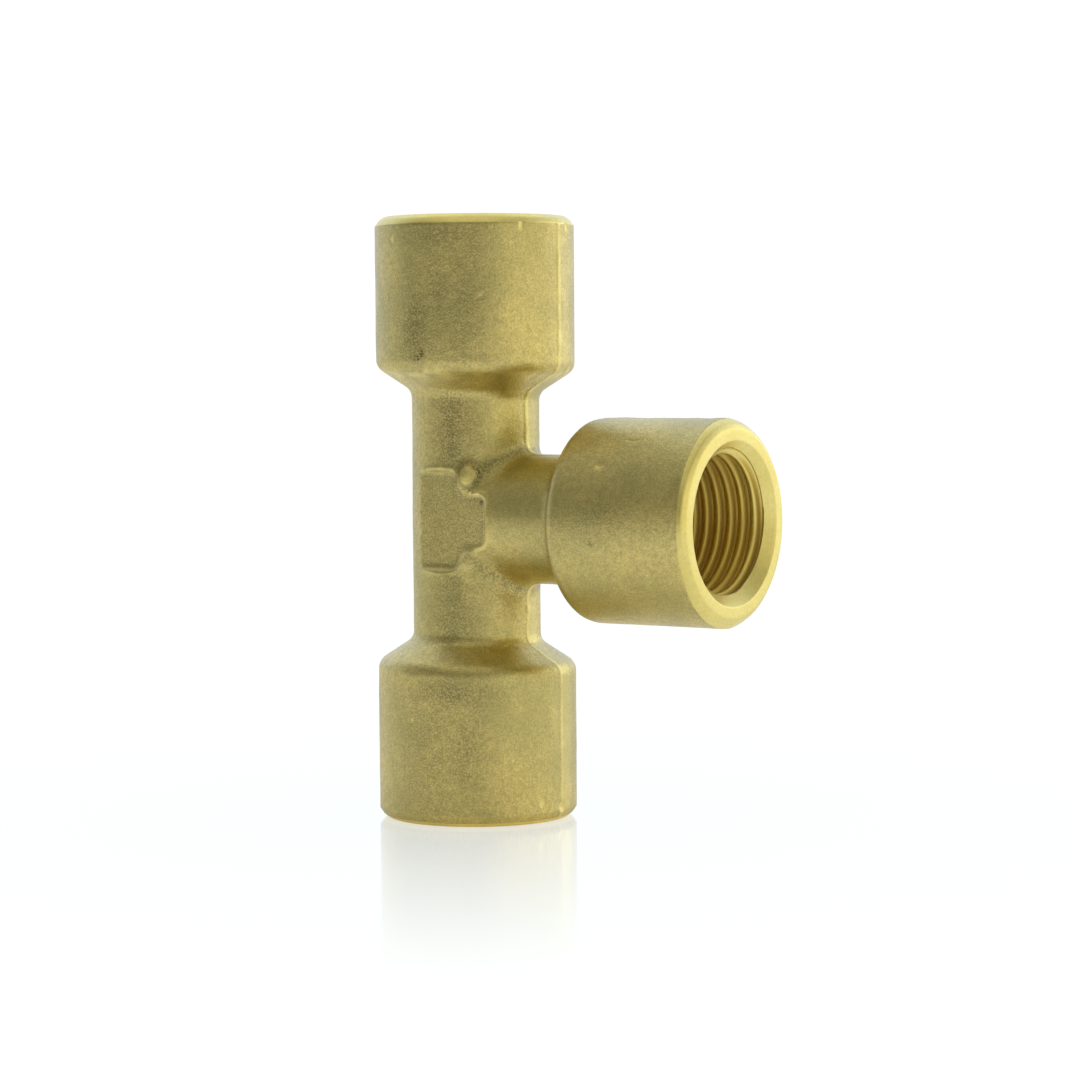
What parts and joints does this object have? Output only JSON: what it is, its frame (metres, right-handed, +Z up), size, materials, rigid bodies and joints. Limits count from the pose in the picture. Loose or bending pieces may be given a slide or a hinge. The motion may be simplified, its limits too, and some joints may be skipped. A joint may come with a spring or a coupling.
{
  "type": "pipe tee fitting",
  "caption": "Equal tee pipe fitting, forged brass body with three female parallel pipe sockets, run standing upright and branch to one side.",
  "frame": {"origin": "centre of the lower socket's end face, on the run's axis", "axes": "+Z up along the run, +X along the branch, +Y across the parting plane"},
  "size_m": [0.0266, 0.0134, 0.04],
  "materials": {
    "forged_brass": "shot-blasted forged skin, satin olive, with bright turned end faces and tapped threads"
  },
  "bodies": {
    "root": {"junction_body": "forged_brass", "upper_run_socket": "forged_brass", "lower_run_socket": "forged_brass", "branch_socket": "forged_brass"}
  },
  "joints": []
}
